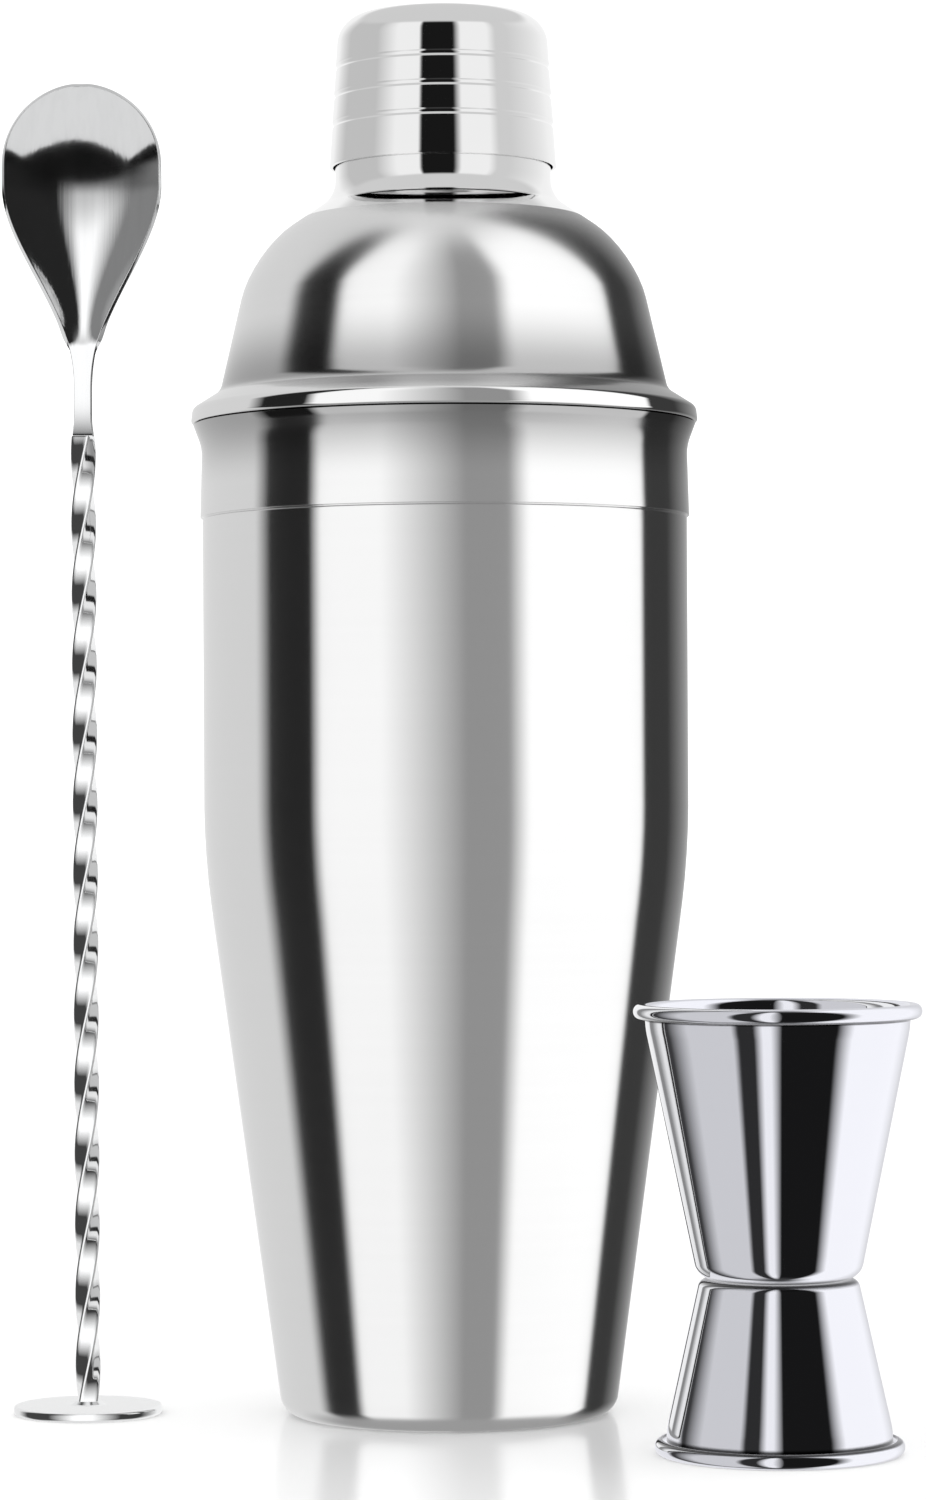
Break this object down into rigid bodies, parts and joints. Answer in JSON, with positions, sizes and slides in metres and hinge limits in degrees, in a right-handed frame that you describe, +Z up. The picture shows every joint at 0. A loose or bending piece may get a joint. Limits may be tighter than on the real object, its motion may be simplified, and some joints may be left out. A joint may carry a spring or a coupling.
{
  "type": "cocktail shaker set",
  "caption": "Three-piece steel cocktail shaker with strainer top and cap, a twisted bar spoon with a muddler disc, and a double jigger with rolled rims.",
  "frame": {"origin": "centre of the shaker's base, on the plane that all three things stand on", "axes": "+Z up along the shaker's axis, +X towards the jigger's side, -Y towards the jigger and the spoon's hollow"},
  "size_m": [0.1517, 0.1194, 0.2396],
  "materials": {
    "satin_steel": "satin, brushed round the axis",
    "polished_steel": "mirror polished"
  },
  "bodies": {
    "shaker": {"shaker_cup": "satin_steel"},
    "strainer": {"strainer_top": "satin_steel", "strainer_plate": "polished_steel"},
    "cap": {"shaker_cap": "polished_steel"},
    "spoon": {"spoon_bowl": "polished_steel", "twisted_stem": "polished_steel", "muddler_disc": "polished_steel"},
    "jigger": {"jigger_large_cup": "polished_steel", "jigger_small_cup": "polished_steel"}
  },
  "joints": [
    {"name": "strainer_lift", "type": "slide", "parent": "shaker", "child": "strainer", "axis": [0, 0, 1], "range_m": [0, 0.12]},
    {"name": "cap_lift", "type": "slide", "parent": "strainer", "child": "cap", "axis": [0, 0, 1], "range_m": [0, 0.06]},
    {"name": "spoon_lift", "type": "slide", "parent": "shaker", "child": "spoon", "axis": [0, 0, 1], "range_m": [0, 0.1]},
    {"name": "jigger_lift", "type": "slide", "parent": "shaker", "child": "jigger", "axis": [0, 0, 1], "range_m": [0, 0.1]}
  ]
}
